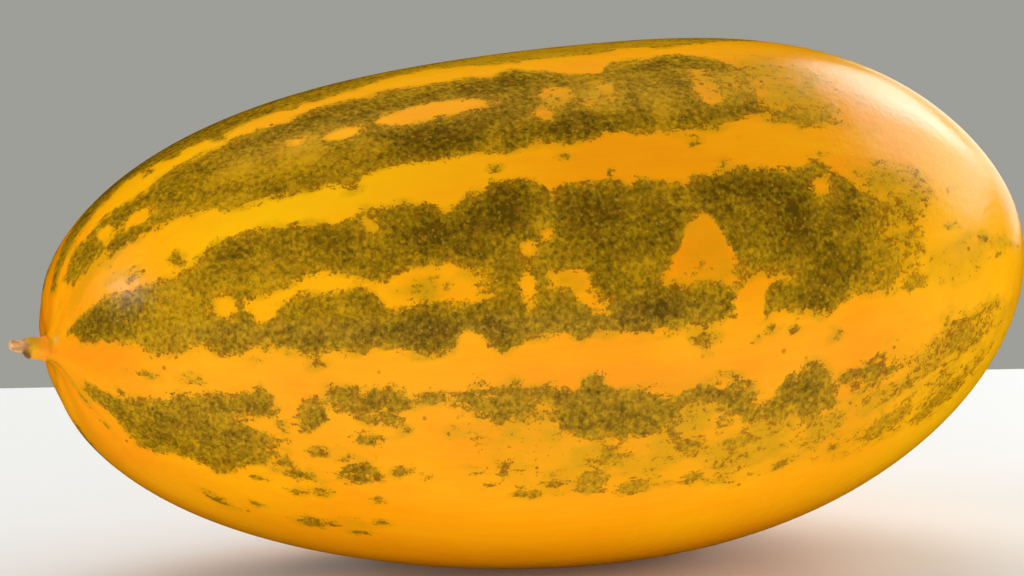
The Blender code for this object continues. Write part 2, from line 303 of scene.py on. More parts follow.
# Deeper and paler parts of the stains: (place, turn, half length, half width, change)
TONES = (
    (-66, 56, 18, 12, -0.25), (-61, 51, 2, 3, 0.3), (-50, 74, 6, 5, 0.2), (-29, 55, 11, 6, 0.25),
    (-65, 62, 4, 3, -0.45), (-53.5, 64.5, 4, 3, -0.5), (-52.5, 57.5, 4, 3, -0.45),
    (6.5, 62, 4, 6, -0.5), (17, 54, 1.8, 6, -0.45), (-17, 51, 1.6, 3, -0.4),
    (33, 63, 3.5, 5, -0.45), (48, 63, 8, 14, -0.55), (-42, 54, 4, 6, -0.25),
    (-12, 72, 9, 5, 0.15), (0, 52, 11, 4, 0.25), (17, 62, 5, 7, -0.18), (27, 74, 7, 4, 0.12),
    (36, 56, 2, 5, 0.2), (-96, 22, 4, 14, 0.3), (-72, 35, 4, 6, 0.2), (-55, 33, 6, 4, 0.15),
    (-54, 12, 6, 6, -0.16), (-45, 8, 6, 4, 0.25), (-35, 8, 4, 6, 0.25), (-33, 31, 4, 6, 0.3),
    (-26, 30, 3, 5, 0.2), (-18, 35, 5, 6, 0.4), (-22, 5, 2, 3, 0.2), (0, 30, 6, 9, 0.2),
    (12, 26, 4, 5, 0.2), (10, 10, 3, 5, 0.2), (31, 33, 11, 5, 0.22), (23, 9, 2, 2, 0.25),
    (38.5, 26, 3.5, 5, 0.4), (46, 14, 5, 5, 0.2), (41, 7, 4, 3, 0.2), (51, 28, 3, 5, 0.2),
    (-86, 19, 7, 12, -0.29), (-70, 28, 11, 7, -0.25), (6, 16, 4, 5, -0.2), (15, 33, 4, 4, -0.2),
    (-12, 32, 3, 5, -0.15), (-47, -8, 4, 3, 0.1), (-51, -28, 4, 3, 0.1), (39, -13, 3, 4, 0.05),
    (53, -13, 3, 3, 0.15), (-82, -27, 8, 12, -0.05),
    (68, -26, 20, 16, -0.2), (-89, 60, 3, 4, 0.3), (64, 10, 8, 10, -0.3), (48, 20, 6, 8, -0.05),
    (5, 9, 5, 4, 0.3), (-20.5, 56, 5, 5, 0.1), (0, 90, 45, 9, -0.40), (15, 90, 30, 9, -0.20),
    (12, -27, 34, 7, -0.30), (45, -28, 12, 7, -0.15),
)

# Windows with a mustard tint: (place, turn, half length, half width, share)
WASHED = ((-2, 64, 6, 5, 0.8), (8, 62, 9, 5, 0.9), (-6, 57, 3, 3, 0.5), (30, 63, 6, 7, 0.9))

# The hidden side goes on the same way. Each invented stripe: middle turn, half width, its two
# ends, how full it is, and the seed of its shape
INVENTED_STRIPES = (
    (141.0, 14.0, -97.0, 82.0, 0.0, 11),
    (181.0, 16.0, -98.0, 88.0, 0.0, 12),
    (221.0, 13.0, -97.0, 80.0, -0.6, 13),
    (261.0, 9.0, -96.0, 50.0, -1.4, 14),
)
INVENTED_THIN_FROM = 38.0
INVENTED_THINNING = 0.11
INVENTED_KNOT_MM = 4.0
INVENTED_WOBBLE_DEG = 1.3
INVENTED_DEPTH_MM = 3.0
INVENTED_TAPER_FROM = 0.75
INVENTED_TAPER = 0.75
# Its clean spots and islands, in number and as ranges: how far off its middle, as a share of its
# half width, then half length in mm and half width in degrees
INVENTED_SPOTS = 16
INVENTED_SPOT_SEED = 100
INVENTED_HOLE_OFF = (-0.8, 0.8)
INVENTED_HOLE_SIZE = ((1.5, 6.0), (1.2, 3.5))
INVENTED_ISLAND_OFF = (1.0, 1.35)
INVENTED_ISLAND_SIZE = ((0.6, 2.6), (0.6, 1.8))

# How far from its edge a stain's depth is told, and how deep an island gets, in mm
EDGE_REACH_MM = 4.0
ISLAND_DEPTH_MM = 1.0
# How slowly a strip fills from its far end, and a speckled zone from its edge
END_SLOPE = 0.35
SPECKLE_SLOPE = 0.5
# The middle of an oval spot is this much deeper, in mm, and how soon that fades outwards
SPOT_RISE_MM = 0.7
SPOT_RISE_FADE = 2.0
# The tone of a stain without a change of TONES, and how full a zone gives a full mustard wash
BASE_TONE = 0.40
WASH_FULLNESS = 1.5

# How orange the clean skin is, and what each part of it adds: the top, the shoulder near the
# stem, yellower partly as the skin's own colour and partly as a painted highlight, the underside,
# made yellower and lighter as painted light, the stem end and the blossom end
RIPE_BASE = 0.68
RIPE_TOP = -0.25
SHOULDER_YELLOW_AND_HIGHLIGHT = -0.48
# The underside's share is painted light: it makes the underside yellower and lighter
BELOW_PAINTED_LIGHT = -0.18
RIPE_STEM_END = 0.20
RIPE_BLOSSOM_END = -0.34
# The middle of that shoulder and its reach, as (place, turn)
SHOULDER_MIDDLE = (-62.0, 42.0)
SHOULDER_REACH = (42.0, 30.0)
# Where the other parts begin, and over how much they grow: the top in turns, the underside in the
# sine of the turn below the horizontal, the ends in places
TOP_TURNS = (60.0, 110.0)
TOP_GROWTH = 20.0
BELOW_START = 0.09
BELOW_GROWTH = 0.64
STEM_END_START = -80.0
STEM_END_GROWTH = 18.0
BLOSSOM_END_START = 50.0
BLOSSOM_END_GROWTH = 25.0
# How soon the skin's grain closes up towards the two ends
GRAIN_SPREAD_POWER = 0.7

# Colours of the skin, as the display shows them. The stops run from a stain's palest tone to
# its deepest, from yellow to deep orange skin, and through the cork of the scar
OLIVE_STOPS = ((0.05, (208, 154, 8)), (0.35, (180, 134, 6)), (0.60, (142, 108, 5)), (1.00, (88, 66, 3)))
CLEAN_STOPS = ((0.0, (255, 192, 0)), (0.5, (252, 168, 2)), (1.0, (243, 132, 0)))
CORK_STOPS = ((0.3, (92, 66, 34)), (0.7, (168, 130, 80)))
BROWN_PATCH = (128, 78, 10)
PALE_DOT = (198, 154, 42)
BROWN_FRINGE = (156, 90, 8)
BROWN_SPECK = (150, 76, 8)
MUSTARD = (202, 150, 5)
# The skin's noises: waves in a mm, detail and roughness
BROAD_NOISE = (0.22, 2.0, 0.5)
EDGE_NOISE = (0.75, 3.0, 0.65)
FINE_NOISE = (2.0, 2.0, 0.6)
MOTTLE_NOISE = (0.9, 3.0, 0.62)
CLOUD_NOISE = (0.25, 3.0, 0.6)
BROWN_NOISE = (0.4, 2.0, 0.5)
WASH_NOISE = (0.05, 3.0, 0.5)
LINE_NOISE = (0.6, 3.0, 0.6)
GLOSS_NOISE = (0.9, 3.0, 0.6)
RELIEF_NOISES = ((2.2, 3.0, 0.6), (0.5, 2.0, 0.5))
# How much they are drawn out along the body
STREAK_STRETCH = (0.55, 1.0, 1.0)
LINE_STRETCH = (0.08, 1.0, 1.0)
# How far they move a stain's edge and its halo, in mm, and what they add to tone and ripeness
HALO_MM = 6.0
BROAD_PUSH_MM = 2.4
EDGE_PUSH_MM = 5.0
FINE_PUSH_MM = 3.0
FLECK_TONE = 0.34
MOTTLE_TONE = 1.5
CLOUD_TONE = 0.7
TONE_PER_MM = 0.07
WASH_RIPENESS = 0.7
LINE_RIPENESS = 0.25
# Cells in a mm: the stains' flecks and pale dots, and the specks of the clean skin
FLECK_CELLS = 1.8
DOT_CELLS = 0.70
SPECK_CELLS = 0.16
# Roughness of the skin, and what a stain and the cork add to it
SKIN_ROUGHNESS = (0.13, 0.23)
STAIN_ROUGHNESS = 0.01
CORK_ROUGHNESS = 0.35
SKIN_GLOSS_LEVEL = 0.42
SKIN_GLOSS_TINT = (0.42, 0.68, 1.0, 1.0)
SCAR_EDGE_MM = (3.4, 2.8)
SCAR_RAGGED_MM = 3.0

# Colours of the stem stub. The stops run from its foot, 0, to 8 mm out, 1
STUB_STOPS = (
    (0.00, (250, 150, 2)), (0.20, (252, 164, 3)), (0.36, (244, 178, 8)), (0.44, (226, 168, 16)),
    (0.50, (196, 138, 60)), (0.60, (236, 184, 124)), (0.80, (228, 170, 108)), (1.00, (244, 226, 176)),
)
STUB_STOPS_MM = 8.0
STUB_OLIVE = (176, 146, 22)
STUB_UNDERSIDE_DARK = (86, 60, 30)
STUB_DRY = (150, 92, 36)

# Lights: direction from the object, distance, width, height, power in watts and colour
WINDOW_LIGHT = (112.0, 30.0, 1.5, 1.10, 0.95, 6.9, (0.86, 0.94, 1.0))
PANE_LIGHT = (134.0, 28.0, 1.4, 0.52, 0.50, 2.3, (0.86, 0.94, 1.0))
RIM_LIGHT = (138.0, 4.0, 1.5, 0.85, 0.40, 1.3, (1.0, 0.97, 0.92))
SIDE_LIGHT = (95.0, 12.0, 1.5, 0.90, 0.50, 8.6, (1.0, 0.99, 0.96))
BACK_LIGHT = (170.0, 55.0, 1.5, 1.20, 1.00, 13.2, (1.0, 0.99, 0.96))
LEFT_LIGHT = (-96.0, 22.0, 1.6, 0.50, 0.90, 8.6, (0.97, 0.98, 1.0))
FRONT_LIGHT = (-18.0, 5.0, 1.2, 2.00, 0.18, 7.3, (1.0, 1.0, 1.0))
LEFT_GLINT = (-80.0, 20.0, 1.5, 0.20, 0.15, 1.0, (1.0, 1.0, 1.0))

# A soft glow from the floor in front: its middle, width, depth and power in watts
FLOOR_GLOW = ((0.09, -0.17, 0.002), 0.60, 0.26, 0.24)
WORLD_COLOR = (0.345, 0.345, 0.318)
FLOOR_COLOR = (0.79, 0.79, 0.79)
FLOOR_ROUGHNESS = 0.6
FLOOR_FAR_Y = 0.184
FLOOR_FAR_TURN_DEG = -8.5
FLOOR_REACH = 3.0


def srgb(red, green, blue):
    """A display colour, 0 to 255, as the linear colour that a shader takes."""
    shares = [c / 255.0 for c in (red, green, blue)]
    linear = [s / 12.92 if s <= 0.04045 else ((s + 0.055) / 1.055) ** 2.4 for s in shares]
    return (*linear, 1.0)


def grown(distance, reach):
    """0 up to a distance of 0, then growing to 1 over the reach."""
    return np.clip(distance / reach, 0.0, 1.0)


def surface(along, turn):
    """Points of the bare body. `along` runs from 0 at the stem to pi, `turn` is in radians."""
    x = -np.cos(along)
    y = -np.sin(along) * np.cos(turn)
    z = np.sin(along) * np.sin(turn)
    site = math.radians(STEM_TURN_DEG) * ((1.0 - x) / 2.0) ** STEM_TURN_FADE
    x, y = x * np.cos(site) - y * np.sin(site), x * np.sin(site) + y * np.cos(site)
    drop = math.radians(STEM_DROP_DEG) * ((1.0 - x) / 2.0) ** STEM_DROP_FADE
    x, z = x * np.cos(drop) - z * np.sin(drop), x * np.sin(drop) + z * np.cos(drop)
    stemward = -x
    radius = RADIUS * (1.0 + sum(c * stemward**n for n, c in enumerate(TAPER, start=1)))
    push = ribs(along, turn)
    for place, degrees, height, reach in SWELLS:
        across = math.sqrt(1.0 - place**2)
        swell_y = -across * math.cos(math.radians(degrees))
        swell_z = across * math.sin(math.radians(degrees))
        distance = (x - place) ** 2 + (y - swell_y) ** 2 + (z - swell_z) ** 2
        push = push + height * np.exp(-distance / reach**2)
    return np.stack(
        [
            (LENGTH / 2.0 + push) * x,
            (radius + push) * y,
            (radius + push) * z - SAG * (1.0 - x**2),
        ],
        axis=-1,
    )


def ribs(along, turn):
    """Height of the shallow ribs, which fade out at both ends of the body."""
    start = grown(along, RIB_START)
    stem_height = RIB_HEIGHT_AT_STEM * start * np.exp(-((along / RIB_STEM_REACH) ** 2))
    height = RIB_HEIGHT * np.sin(along) ** 2 + stem_height
    return height * np.cos(RIB_COUNT * (turn - math.radians(RIB_TURN_DEG)))


def skin(along, turn):
    """Points of the body with the low corky scar at the blossom end."""
    points = surface(along, turn)
    reach = np.sin(along) * RADIUS / SCAR_RADIUS
    points[..., 0] += SCAR_HEIGHT * np.exp(-(reach**4)) * (along > math.pi / 2.0)
    return points


def leaned(points):
    """Points turned by the fruit's lean, about the body's own origin."""
    lean = math.radians(LEAN_DEG)
    x = points[..., 0] * math.cos(lean) - points[..., 2] * math.sin(lean)
    z = points[..., 0] * math.sin(lean) + points[..., 2] * math.cos(lean)
    return np.stack([x, points[..., 1], z], axis=-1)


def rest_shift():
    """The move that puts the leaned body's lowest point at the origin, with its flat spot cut."""
    along = np.linspace(0.0, math.pi, CURVE_STEPS)[:, None]
    turn = np.linspace(-math.pi, 0.0, CURVE_STEPS)[None, :]
    points = leaned(surface(along + 0.0 * turn, turn + 0.0 * along)).reshape(-1, 3)
    return -points[points[:, 2].argmin()] - np.array([0.0, 0.0, FLAT_DEPTH])


def stem_axes():
    """The stub's foot on the bare body, its direction, and the two directions across it."""
    foot = Vector(surface(np.zeros(1), np.zeros(1))[0])
    side, up = (math.radians(a) for a in STEM_AIM_DEG)
    out = Vector((-math.cos(side) * math.cos(up), -math.sin(side) * math.cos(up), math.sin(up)))
    top = (Vector((0.0, 0.0, 1.0)) - out * out.z).normalized()
    front = top.cross(out)
    return tuple(np.array(v) for v in (foot, out, front, top))


def rings_mesh(name, rings, poles):
    """One closed mesh: bands between the rings and a fan to the pole at each end."""
    steps = rings.shape[1]
    count = rings.shape[0]
    points = np.concatenate([rings.reshape(-1, 3), np.array(poles)])
    near = np.arange(steps)
    far = (near + 1) % steps
    faces = []
    for ring in range(count - 1):
        first = ring * steps
        quads = np.stack([near, far, far + steps, near + steps], axis=1) + first
        faces.extend(quads.tolist())
    first_pole = count * steps
    last = (count - 1) * steps
    for i in range(steps):
        faces.append((first_pole, int(far[i]), int(near[i])))
        faces.append((first_pole + 1, last + int(near[i]), last + int(far[i])))
    mesh = bpy.data.meshes.new(name)
    mesh.from_pydata(points.tolist(), [], faces)
    mesh.validate()
    mesh.shade_smooth()
    return mesh


def store(mesh, name, values):
    """Keeps one number for each vertex, or one vector."""
    values = np.asarray(values, np.float32)
    if values.ndim == 2:
        mesh.attributes.new(name, "FLOAT_VECTOR", "POINT").data.foreach_set("vector", values.ravel())
    else:
        mesh.attributes.new(name, "FLOAT", "POINT").data.foreach_set("value", values)


def scales(place):
    """Millimetres of skin for one millimetre of `place`, and for one degree of `turn`."""
    across = np.sqrt(np.clip(1.0 - (place / 100.0) ** 2, 1e-4, 1.0))
    along_mm = np.sqrt(1.0 + (RADIUS / (LENGTH / 2.0) * (place / 100.0) / across) ** 2)
    turn_mm = math.radians(1.0) * RADIUS * 1000.0 * across
    return along_mm, turn_mm


def near_turn(turn, middle):
    """`turn` with full turns added, so that it is within half a turn of `middle`."""
    return (turn - middle + 180.0) % 360.0 - 180.0 + middle


def inside_strip(place, turn, lower, upper):
    """How far a point is inside a strip between two edges, in mm. Negative is outside."""
    lower, upper = np.array(lower, float), np.array(upper, float)
    along_mm, turn_mm = scales(place)
    turn = near_turn(turn, float(lower[:, 1].mean() + upper[:, 1].mean()) / 2.0)
    low = np.interp(place, lower[:, 0], lower[:, 1])
    high = np.interp(place, upper[:, 0], upper[:, 1])
    start = max(lower[0, 0], upper[0, 0])
    end = min(lower[-1, 0], upper[-1, 0])
    across = np.minimum(turn - low, high - turn) * turn_mm
    ends = np.minimum(place - start, (end - place) * END_SLOPE) * along_mm
    return np.minimum(across, ends)


def reach_of(place, turn, spot):
    """Distance from a spot's middle, as a share of its own size."""
    u = (place - spot[0]) / spot[2]
    v = near_turn(turn - spot[1], 0.0) / spot[3]
    return np.sqrt(u**2 + v**2)


def inside_spot(place, turn, spot):
    """How far a point is inside an oval spot, in mm. Negative is outside."""
    along_mm, turn_mm = scales(place)
    size = np.minimum(spot[2] * along_mm, spot[3] * turn_mm)
    reach = reach_of(place, turn, spot)
    return (1.0 - reach) * size + SPOT_RISE_MM * np.exp(-SPOT_RISE_FADE * reach**2)


def inside_speckles(place, turn, spot):
    """Like inside_spot, but never more than the zone's own fullness."""
    return np.minimum(inside_spot(place, turn, spot) * SPECKLE_SLOPE, 0.0) + spot[4]


def invented_edges(middle, half_width, start, end, seed):
    """The edges of a stripe on the side that the photograph doesn't show."""
    chance = np.random.default_rng(seed)
    knots = np.arange(start, end + INVENTED_KNOT_MM, INVENTED_KNOT_MM)
    share = (knots - start) / (end - start)
    far = grown(share - INVENTED_TAPER_FROM, 1.0 - INVENTED_TAPER_FROM)
    width = half_width * (1.0 - INVENTED_TAPER * far**2)
    lower = middle - width + chance.normal(0.0, INVENTED_WOBBLE_DEG, len(knots))
    upper = middle + width + chance.normal(0.0, INVENTED_WOBBLE_DEG, len(knots))
    return np.stack([knots, lower], axis=1), np.stack([knots, upper], axis=1)


def invented_stain(place, turn):
    """The stripes of the hidden side, with their clean spots and islands."""
    inside = np.full(place.shape, -EDGE_REACH_MM)
    for middle, half_width, start, end, fullness, seed in INVENTED_STRIPES:
        lower, upper = invented_edges(middle, half_width, start, end, seed)
        stripe = np.minimum(inside_strip(place, turn, lower, upper), INVENTED_DEPTH_MM) + fullness
        chance = np.random.default_rng(seed + INVENTED_SPOT_SEED)
        for _ in range(INVENTED_SPOTS):
            along = chance.uniform(start, end)
            off = chance.uniform(*INVENTED_HOLE_OFF) * half_width
            size = [chance.uniform(*sizes) for sizes in INVENTED_HOLE_SIZE]
            stripe = np.minimum(stripe, -inside_spot(place, turn, (along, middle + off, *size)))
        for _ in range(INVENTED_SPOTS):
            along = chance.uniform(start, end)
            off = chance.choice((-1.0, 1.0)) * chance.uniform(*INVENTED_ISLAND_OFF) * half_width
            size = [chance.uniform(*sizes) for sizes in INVENTED_ISLAND_SIZE]
            island = inside_spot(place, turn, (along, middle + off, *size)) + fullness
            stripe = np.maximum(stripe, island)
        inside = np.maximum(inside, stripe)
    return inside - INVENTED_THINNING * np.clip(place - INVENTED_THIN_FROM, 0.0, None)


def stain_depth(place, turn):
    """How far each point is inside the stains, in mm, and how deep their tone is."""
    inside = np.full(place.shape, -EDGE_REACH_MM)
    for lower, upper, thin_from, thinning, fullness in STRIPES:
        stripe = np.minimum(inside_strip(place, turn, lower, upper), EDGE_REACH_MM) + fullness
        stripe = stripe - thinning * np.clip(place - thin_from, 0.0, None)
        inside = np.maximum(inside, stripe)
    for lower, upper in CLEAN_STRIPS:
        inside = np.minimum(inside, -inside_strip(place, turn, lower, upper))
    for spot in CLEAN_SPOTS:
        inside = np.minimum(inside, -inside_spot(place, turn, spot))
    for spot in ISLANDS:
        island = np.minimum(inside_spot(place, turn, spot), ISLAND_DEPTH_MM)
        inside = np.maximum(inside, island)
    for spot in ISLAND_HOLES:
        inside = np.minimum(inside, -inside_spot(place, turn, spot))
    for spot in SPECKLED:
        inside = np.maximum(inside, inside_speckles(place, turn, spot))
    inside = np.maximum(inside, invented_stain(place, turn))
    tone = np.full(place.shape, BASE_TONE)
    for spot in TONES:
        tone = tone + spot[4] * np.exp(-(reach_of(place, turn, spot) ** 2))
    return np.clip(inside, -EDGE_REACH_MM, EDGE_REACH_MM), tone


def mustard_wash(place, turn):
    """How much of a mustard tint the skin has between thin specks, 0 to 1."""
    wash = np.zeros(place.shape)
    for spot in SPECKLED:
        share = np.clip(WASH_FULLNESS + spot[4], 0.0, 1.0)
        wash = np.maximum(wash, share * np.exp(-(reach_of(place, turn, spot) ** 4)))
    for spot in WASHED:
        wash = np.maximum(wash, spot[4] * np.exp(-(reach_of(place, turn, spot) ** 4)))
    return wash


def skin_grain(along, turn):
    """Coordinates in mm that follow the skin: the first along the body, the others round it."""
    fine = np.linspace(0.0, math.pi, CURVE_STEPS)
    speed = 1000.0 * np.hypot(LENGTH / 2.0 * np.sin(fine), RADIUS * np.cos(fine))
    run = np.concatenate([[0.0], np.cumsum((speed[1:] + speed[:-1]) / 2.0 * np.diff(fine))])
    spread = 1000.0 * RADIUS * np.sin(along) ** GRAIN_SPREAD_POWER
    return np.stack(
        [np.interp(along, fine, run), spread * np.cos(turn), spread * np.sin(turn)], axis=-1
    )


def ripeness_and_painted_light(place, turn):
    """0 where the clean skin is yellow, 1 where it is deep orange. The yellower shoulder is partly a
    painted highlight, and the yellower underside is painted light.
    """
    facing = near_turn(turn, 0.0)
    u = (place - SHOULDER_MIDDLE[0]) / SHOULDER_REACH[0]
    v = (facing - SHOULDER_MIDDLE[1]) / SHOULDER_REACH[1]
    shoulder = np.exp(-(u**2) - v**2)
    below = grown(-np.sin(np.radians(facing)) - BELOW_START, BELOW_GROWTH)
    stem_end = grown(STEM_END_START - place, STEM_END_GROWTH)
    blossom_end = grown(place - BLOSSOM_END_START, BLOSSOM_END_GROWTH)
    top = grown(facing - TOP_TURNS[0], TOP_GROWTH) * grown(TOP_TURNS[1] - facing, TOP_GROWTH)
    ends = RIPE_STEM_END * stem_end + RIPE_BLOSSOM_END * blossom_end
    return RIPE_BASE + RIPE_TOP * top + SHOULDER_YELLOW_AND_HIGHLIGHT * shoulder + BELOW_PAINTED_LIGHT * below + ends


def add_piece(name, mesh, finish, node):
    """Puts a finished mesh in the scene in place of a CAD node."""
    mesh.materials.append(finish)
    piece = bpy.data.objects.new(name, mesh)
    bpy.context.scene.collection.objects.link(piece)
    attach(piece, "root")
    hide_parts(node)
    return piece


def add_fruit(shift, low, high):
    """The whole fruit with its collar, blossom scar and flat spot, and the layout of its stains."""
    foot, out, front, top = stem_axes()
    rim = foot + out * COLLAR_HEIGHT
    turns = np.linspace(-math.pi, math.pi, STEPS_ROUND, endpoint=False)
    circle = rim + NECK_RADIUS * (
        np.cos(turns)[:, None] * front + np.sin(turns)[:, None] * top
    )
    stem_radius = RADIUS * (1.0 + sum(TAPER))
    rings, alongs = [], []
    for step in range(COLLAR_RINGS):
        share = step / COLLAR_RINGS
        reach = NECK_RADIUS + (COLLAR_REACH - NECK_RADIUS) * share
        lift = (1.0 - share) ** 2
        along = np.full(STEPS_ROUND, reach / stem_radius)
        rings.append(skin(along, turns) * (1.0 - lift) + circle * lift)
        alongs.append(along)
    for along in np.linspace(COLLAR_REACH / stem_radius, math.pi - LAST_RING_GAP, BODY_RINGS):
        alongs.append(np.full(STEPS_ROUND, along))
        rings.append(skin(alongs[-1], turns))
    poles = [rim - out * POLE_DEPTH, skin(np.full(1, math.pi), np.zeros(1))[0]]
    alongs = np.array(alongs)
    rings = np.clip(leaned(np.array(rings)) + shift, low, high)
    poles = leaned(np.array(poles)) + shift
    mesh = rings_mesh("fruit_skin", rings, poles)

    along = np.concatenate([alongs.ravel(), [alongs[0, 0], math.pi]])
    turn = np.concatenate([np.tile(turns, len(alongs)), [0.0, 0.0]])
    place = -100.0 * np.cos(along)
    inside, tone = stain_depth(place, np.degrees(turn))
    store(mesh, "inside", inside)
    store(mesh, "tone", tone)
    store(mesh, "wash", mustard_wash(place, np.degrees(turn)))
    store(mesh, "ripe_and_painted_light", ripeness_and_painted_light(place, np.degrees(turn)))
    store(mesh, "grain", skin_grain(along, turn))
    blossom = np.where(along > math.pi / 2.0, 1000.0 * RADIUS * np.sin(along), BLOSSOM_REACH_MM)
    store(mesh, "blossom_mm", np.minimum(blossom, BLOSSOM_REACH_MM))
    store(mesh, "stem_mm", np.minimum(1000.0 * stem_radius * along, STEM_REACH_MM))
    return add_piece("fruit_skin", mesh, skin_material(), "fruit")


def add_stub(shift):
    """The dried stub: a fluted neck, a dark break, and the narrower dry tip."""
    foot, out, front, top = stem_axes()
    rim = foot + out * COLLAR_HEIGHT
    shape = np.array(STUB_SHAPE)
    runs = np.concatenate([[0.0], np.cumsum(np.hypot(*np.diff(shape, axis=0).T))])
    run = np.linspace(0.0, runs[-1], STUB_RINGS)
    distances = np.interp(run, runs, shape[:, 0])
    radii = np.interp(run, runs, shape[:, 1])
    turns = np.linspace(0.0, math.tau, STUB_STEPS_ROUND, endpoint=False)
    phases = np.random.default_rng(STUB_SEED).uniform(0.0, math.tau, len(STUB_WAVES))
    rings = []
    for distance, radius in zip(distances, radii):
        mm = distance * 1000.0
        ridge = STUB_RIDGE_SHARE * np.cos(STUB_RIDGES * turns)
        dry = grown(distance - NECK_LENGTH, STUB_WRINKLE_FADE)
        depth = STUB_WRINKLE_SHARE * (STUB_NECK_WRINKLES + (1.0 - STUB_NECK_WRINKLES) * dry)
        waves = sum(
            share * np.cos(count * turns + phase + twist * mm)
            for (count, share, twist), phase in zip(STUB_WAVES, phases)
        )
        r = radius * (1.0 + ridge + depth * waves * (distance > 0.0))
        bend = STUB_BEND * max(distance / STUB_LENGTH, 0.0) ** 2
        centre = rim + out * distance + top * bend
        rings.append(
            centre + (r * np.cos(turns))[:, None] * front + (r * np.sin(turns))[:, None] * top
        )
    rings = np.array(rings)
    poles = np.array([rings[0].mean(axis=0), rings[-1].mean(axis=0)])
    rings = leaned(rings) + shift
    poles = leaned(poles) + shift
    mesh = rings_mesh("stem_stub_dry", rings[:, ::-1], poles)
    rings_mm = np.repeat(distances * 1000.0, STUB_STEPS_ROUND)
    upward = np.tile(np.sin(turns)[::-1], STUB_RINGS)
    store(mesh, "stub_mm", np.concatenate([rings_mm, [rings_mm[0], rings_mm[-1]]]))
    store(mesh, "upward", np.concatenate([upward, [0.0, 0.0]]))
    return add_piece("stem_stub_dry", mesh, stem_material(), "stem_stub")


class Nodes:
    """Short ways to add and join the nodes of one material."""

    def __init__(self, name):
        self.material = bpy.data.materials.new(name)
        self.material.use_nodes = True
        self.tree = self.material.node_tree
        self.shader = self.tree.nodes["Principled BSDF"]

    def put(self, socket, value):
        """Joins a node's output to a socket, or sets the socket to a plain value."""
        if isinstance(value, bpy.types.NodeSocket):
            self.tree.links.new(value, socket)
        else:
            socket.default_value = value

    def attribute(self, name, output="Fac"):
        """A number or a vector that the mesh keeps at each point."""
        node = self.tree.nodes.new("ShaderNodeAttribute")
        node.attribute_name = name
        return node.outputs[output]

    def math(self, operation, first, second=0.0, third=0.0):
        """One sum of two or three values."""
        node = self.tree.nodes.new("ShaderNodeMath")
        node.operation = operation
        for socket, value in zip(node.inputs, (first, second, third)):
            self.put(socket, value)
        return node.outputs[0]

    def swayed(self, base, noise, amount):
        """A value moved up and down by a noise whose middle is 0.5."""
        return self.math("MULTIPLY_ADD", self.math("SUBTRACT", noise, 0.5), amount, base)

    def stretched(self, vector, scale):
        """A vector with each of its parts scaled."""
        node = self.tree.nodes.new("ShaderNodeMapping")
        self.put(node.inputs["Vector"], vector)
        node.inputs["Scale"].default_value = scale
        return node.outputs[0]

    def noise(self, vector, scale, detail, roughness):
        """Soft noise from about 0 to 1."""
        node = self.tree.nodes.new("ShaderNodeTexNoise")
        self.put(node.inputs["Vector"], vector)
        node.inputs["Scale"].default_value = scale
        node.inputs["Detail"].default_value = detail
        node.inputs["Roughness"].default_value = roughness
        return node.outputs["Fac"]

    def cells(self, vector, scale):
        """Distance from the nearest of a field of scattered points, and that point's own number."""
        node = self.tree.nodes.new("ShaderNodeTexVoronoi")
        self.put(node.inputs["Vector"], vector)
        node.inputs["Scale"].default_value = scale
        return node.outputs["Distance"], node.outputs["Color"]

    def ramp(self, value, low, high, smooth=True):
        """0 where the value is at `low`, 1 at `high`."""
        node = self.tree.nodes.new("ShaderNodeMapRange")
        node.interpolation_type = "SMOOTHSTEP" if smooth else "LINEAR"
        self.put(node.inputs["Value"], value)
        node.inputs["From Min"].default_value = low
        node.inputs["From Max"].default_value = high
        return node.outputs["Result"]

    def span(self, value, low, high):
        """A 0 to 1 value stretched to run from `low` to `high`."""
        node = self.tree.nodes.new("ShaderNodeMapRange")
        self.put(node.inputs["Value"], value)
        node.inputs["To Min"].default_value = low
        node.inputs["To Max"].default_value = high
        return node.outputs["Result"]

    def colors(self, value, stops):
        """A colour for each value, from (value, display colour) stops."""
        node = self.tree.nodes.new("ShaderNodeValToRGB")
        elements = node.color_ramp.elements
        while len(elements) < len(stops):
            elements.new(0.5)
        for element, (position, color) in zip(elements, stops):
            element.position = position
            element.color = srgb(*color)
        self.put(node.inputs["Fac"], value)
        return node.outputs["Color"]

    def mix(self, share, first, second):
        """`share` of the second colour over the first."""
        node = self.tree.nodes.new("ShaderNodeMix")
        node.data_type = "RGBA"
        self.put(node.inputs["Factor"], share)
        self.put(node.inputs[6], first)
        self.put(node.inputs[7], second)
        return node.outputs[2]

    def bump(self, height, distance, strength):
        """Relief too fine for the mesh."""
        node = self.tree.nodes.new("ShaderNodeBump")
        node.inputs["Distance"].default_value = distance
        node.inputs["Strength"].default_value = strength
        self.put(node.inputs["Height"], height)
        self.put(self.shader.inputs["Normal"], node.outputs["Normal"])


